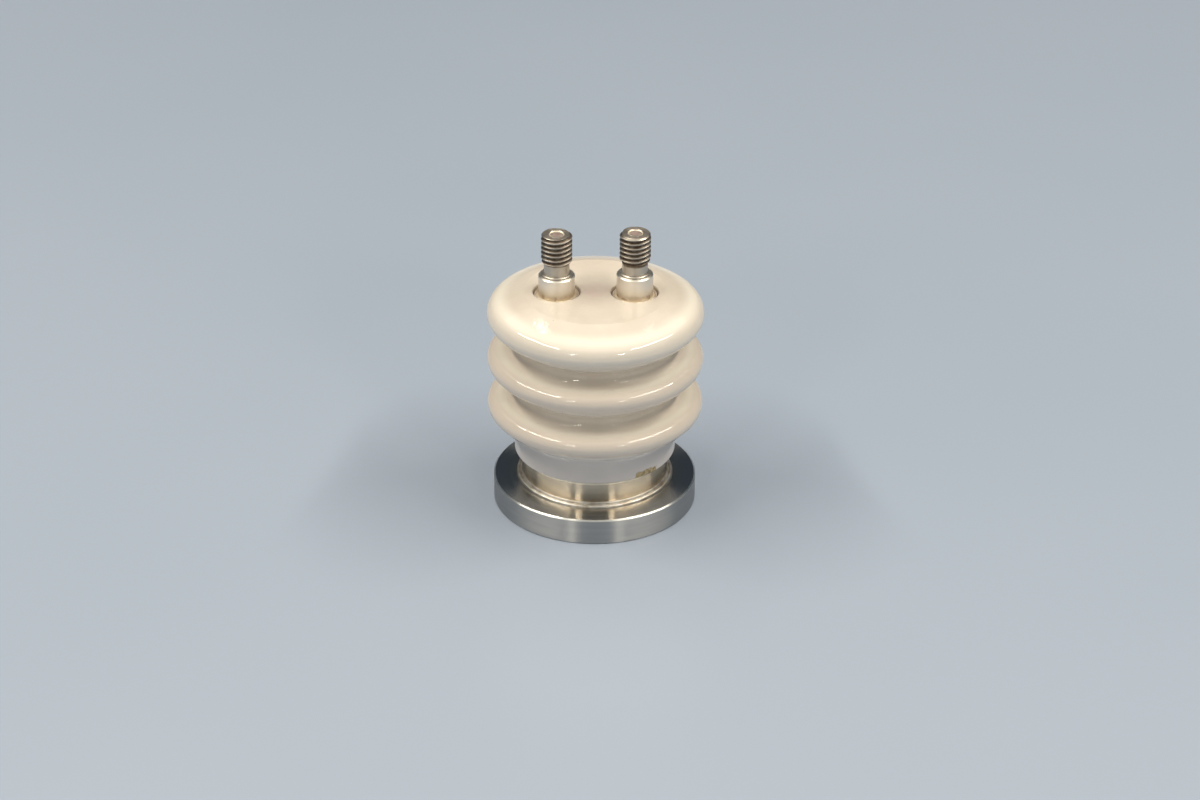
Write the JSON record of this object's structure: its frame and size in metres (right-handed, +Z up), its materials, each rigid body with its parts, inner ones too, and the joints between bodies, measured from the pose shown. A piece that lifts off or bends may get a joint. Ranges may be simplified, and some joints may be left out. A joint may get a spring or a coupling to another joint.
{
  "type": "two-pole ceramic bushing insulator",
  "caption": "Glazed three-shed ceramic bushing insulator with two M8 terminal studs, on a welded round stainless flange.",
  "frame": {"origin": "centre of the flange's lower face, which the part stands on", "axes": "+Z up along the body's axis, towards the studs; the two studs stand on the X axis, the left one at -X"},
  "size_m": [0.056, 0.056, 0.0763],
  "materials": {
    "glazed_porcelain": "gloss",
    "stainless": "turned",
    "weld": "satin",
    "nickel": "satin",
    "copper": "satin",
    "braze": "satin",
    "plain_ceramic": "matte"
  },
  "bodies": {
    "root": {"ceramic_body": "glazed_porcelain", "mounting_flange": "stainless", "collar_sleeve": "stainless", "flange_weld_bead": "weld", "collar_braze_ring": "braze", "terminal_stud_left": "nickel", "conductor_rod_left": "copper", "tip_braze_left": "braze", "seal_cup_left": "nickel", "cup_braze_left": "braze", "shoulder_braze_left": "braze", "guide_bush_left": "plain_ceramic", "terminal_stud_right": "nickel", "conductor_rod_right": "copper", "tip_braze_right": "braze", "seal_cup_right": "nickel", "cup_braze_right": "braze", "shoulder_braze_right": "braze", "guide_bush_right": "plain_ceramic"}
  },
  "joints": []
}
